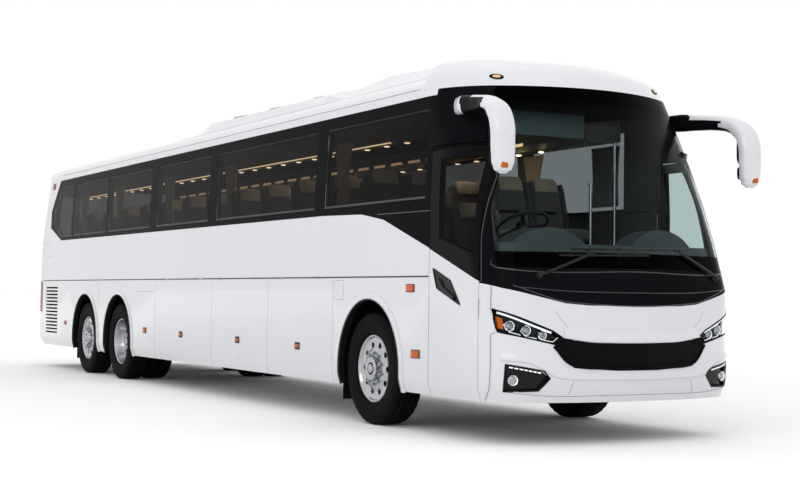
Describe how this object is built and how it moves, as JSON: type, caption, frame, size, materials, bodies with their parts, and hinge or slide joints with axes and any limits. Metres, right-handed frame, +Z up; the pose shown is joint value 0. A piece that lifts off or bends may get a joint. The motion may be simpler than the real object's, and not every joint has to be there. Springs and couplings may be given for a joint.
{
  "type": "coach bus",
  "caption": "Full-size three-axle high-deck coach with raked screen, bonded side glazing, luggage bays, twin drive wheels and a full passenger cabin.",
  "frame": {"origin": "on the floor under the middle of the overall box", "axes": "+Z up, the bus faces -Y, its right side is -X"},
  "size_m": [2.815, 14.2998, 3.46],
  "materials": {
    "white_paint": "gloss white coach enamel",
    "black_gloss": "gloss black",
    "tinted_glass": "dark tinted safety glass",
    "screen_glass": "lightly tinted laminated screen",
    "black_plastic": "moulded black plastic",
    "mirror_paint": "gloss white mirror shell",
    "lamp_clear": "black lamp housing under clear cover",
    "lamp_red": "red lamp lens",
    "floor_covering": "speckled vinyl floor",
    "painted_steel": "black chassis paint",
    "tyre_rubber": "black rubber",
    "polished_aluminium": "polished forged aluminium",
    "seat_fabric": "woven seat cloth",
    "rack_trim": "lined parcel rack",
    "flap_rubber": "black rubber sheet"
  },
  "bodies": {
    "coach": {"air_conditioner": "white_paint", "arch_panels": "white_paint", "axles": "painted_steel", "cabin_floor": "floor_covering", "cowl_panel": "black_gloss", "dashboard": "black_plastic", "driver_seat": "seat_fabric", "engine": "painted_steel", "engine_side_panels": "white_paint", "front_bumper": "white_paint", "front_cap": "white_paint", "front_lamps": "lamp_clear", "front_panel": "white_paint", "front_pillars": "black_gloss", "glazing_bands": "black_gloss", "grille": "black_plastic", "luggage_hold": "painted_steel", "luggage_racks": "rack_trim", "mirrors": "mirror_paint", "mud_flaps": "flap_rubber", "passenger_seats": "seat_fabric", "rear_bumper": "white_paint", "rear_wall": "white_paint", "rear_window": "tinted_glass", "roof": "white_paint", "roof_fairing": "white_paint", "side_glass": "tinted_glass", "side_wall_left": "white_paint", "side_wall_right": "white_paint", "tail_lamps": "lamp_red", "underframe": "painted_steel", "wheel_housings": "black_plastic", "windscreen": "screen_glass", "wipers": "black_plastic"},
    "knuckle_right": {"knuckle_right": "painted_steel"},
    "knuckle_left": {"knuckle_left": "painted_steel"},
    "steering": {"steering_wheel": "black_plastic"},
    "driver_door": {"driver_door": "white_paint", "driver_door_glass": "tinted_glass"},
    "entrance_door": {"entrance_door": "white_paint", "entrance_door_glass": "tinted_glass"},
    "engine_lid": {"engine_lid": "white_paint"},
    "luggage_door_right_1": {"luggage_door_right_1": "white_paint"},
    "luggage_door_right_2": {"luggage_door_right_2": "white_paint"},
    "luggage_door_right_3": {"luggage_door_right_3": "white_paint"},
    "wheel_front_right": {"tyre_front_right": "tyre_rubber", "rim_front_right": "polished_aluminium"},
    "wheel_drive_right": {"tyre_drive_right": "tyre_rubber", "rim_drive_right": "polished_aluminium"},
    "wheel_tag_right": {"tyre_tag_right": "tyre_rubber", "rim_tag_right": "polished_aluminium"},
    "luggage_door_left_1": {"luggage_door_left_1": "white_paint"},
    "luggage_door_left_2": {"luggage_door_left_2": "white_paint"},
    "luggage_door_left_3": {"luggage_door_left_3": "white_paint"},
    "wheel_front_left": {"tyre_front_left": "tyre_rubber", "rim_front_left": "polished_aluminium"},
    "wheel_drive_left": {"tyre_drive_left": "tyre_rubber", "rim_drive_left": "polished_aluminium"},
    "wheel_tag_left": {"tyre_tag_left": "tyre_rubber", "rim_tag_left": "polished_aluminium"}
  },
  "joints": [
    {"name": "steer_right", "type": "hinge", "parent": "coach", "child": "knuckle_right", "pos_m": [-0.86, -4.75, 0.522], "axis": [0, 0, 1], "range_deg": [-35, 35]},
    {"name": "steer_left", "type": "hinge", "parent": "coach", "child": "knuckle_left", "pos_m": [0.86, -4.75, 0.522], "axis": [0, 0, 1], "range_deg": [-35, 35]},
    {"name": "spin_front_right", "type": "hinge", "parent": "knuckle_right", "child": "wheel_front_right", "pos_m": [-1.097, -4.75, 0.522], "axis": [1, 0, 0], "continuous": true},
    {"name": "spin_front_left", "type": "hinge", "parent": "knuckle_left", "child": "wheel_front_left", "pos_m": [1.097, -4.75, 0.522], "axis": [1, 0, 0], "continuous": true},
    {"name": "spin_drive_right", "type": "hinge", "parent": "coach", "child": "wheel_drive_right", "pos_m": [-1.097, 2.8, 0.522], "axis": [1, 0, 0], "continuous": true},
    {"name": "spin_drive_left", "type": "hinge", "parent": "coach", "child": "wheel_drive_left", "pos_m": [1.097, 2.8, 0.522], "axis": [1, 0, 0], "continuous": true},
    {"name": "spin_tag_right", "type": "hinge", "parent": "coach", "child": "wheel_tag_right", "pos_m": [-1.097, 4.36, 0.522], "axis": [1, 0, 0], "continuous": true},
    {"name": "spin_tag_left", "type": "hinge", "parent": "coach", "child": "wheel_tag_left", "pos_m": [1.097, 4.36, 0.522], "axis": [1, 0, 0], "continuous": true},
    {"name": "steering_turn", "type": "hinge", "parent": "coach", "child": "steering", "pos_m": [-0.64, -6.36, 1.815], "axis": [0, 0.4695, 0.8829], "range_deg": [-560, 560]},
    {"name": "driver_door_swing", "type": "hinge", "parent": "coach", "child": "driver_door", "pos_m": [-1.279, -6.68, 1.3], "axis": [0, 0, 1], "range_deg": [0, 70]},
    {"name": "entrance_door_swing", "type": "hinge", "parent": "coach", "child": "entrance_door", "pos_m": [1.279, -6.68, 1.3], "axis": [0, 0, -1], "range_deg": [0, 80]},
    {"name": "luggage_door_right_1_lift", "type": "hinge", "parent": "coach", "child": "luggage_door_right_1", "pos_m": [-1.279, -3.195, 1.374], "axis": [0, 1, 0], "range_deg": [0, 90]},
    {"name": "luggage_door_right_2_lift", "type": "hinge", "parent": "coach", "child": "luggage_door_right_2", "pos_m": [-1.279, -1.58, 1.374], "axis": [0, 1, 0], "range_deg": [0, 90]},
    {"name": "luggage_door_right_3_lift", "type": "hinge", "parent": "coach", "child": "luggage_door_right_3", "pos_m": [-1.279, 0.24, 1.374], "axis": [0, 1, 0], "range_deg": [0, 90]},
    {"name": "luggage_door_left_1_lift", "type": "hinge", "parent": "coach", "child": "luggage_door_left_1", "pos_m": [1.279, -3.195, 1.374], "axis": [0, -1, 0], "range_deg": [0, 90]},
    {"name": "luggage_door_left_2_lift", "type": "hinge", "parent": "coach", "child": "luggage_door_left_2", "pos_m": [1.279, -1.58, 1.374], "axis": [0, -1, 0], "range_deg": [0, 90]},
    {"name": "luggage_door_left_3_lift", "type": "hinge", "parent": "coach", "child": "luggage_door_left_3", "pos_m": [1.279, 0.24, 1.374], "axis": [0, -1, 0], "range_deg": [0, 90]},
    {"name": "engine_lid_lift", "type": "hinge", "parent": "coach", "child": "engine_lid", "pos_m": [0, 7.08, 1.818], "axis": [1, 0, 0], "range_deg": [0, 75]}
  ],
  "couplings": [
    {"joint": "steer_left", "follows": "steer_right", "ratio": 1},
    {"joint": "steering_turn", "follows": "steer_right", "ratio": 16}
  ]
}
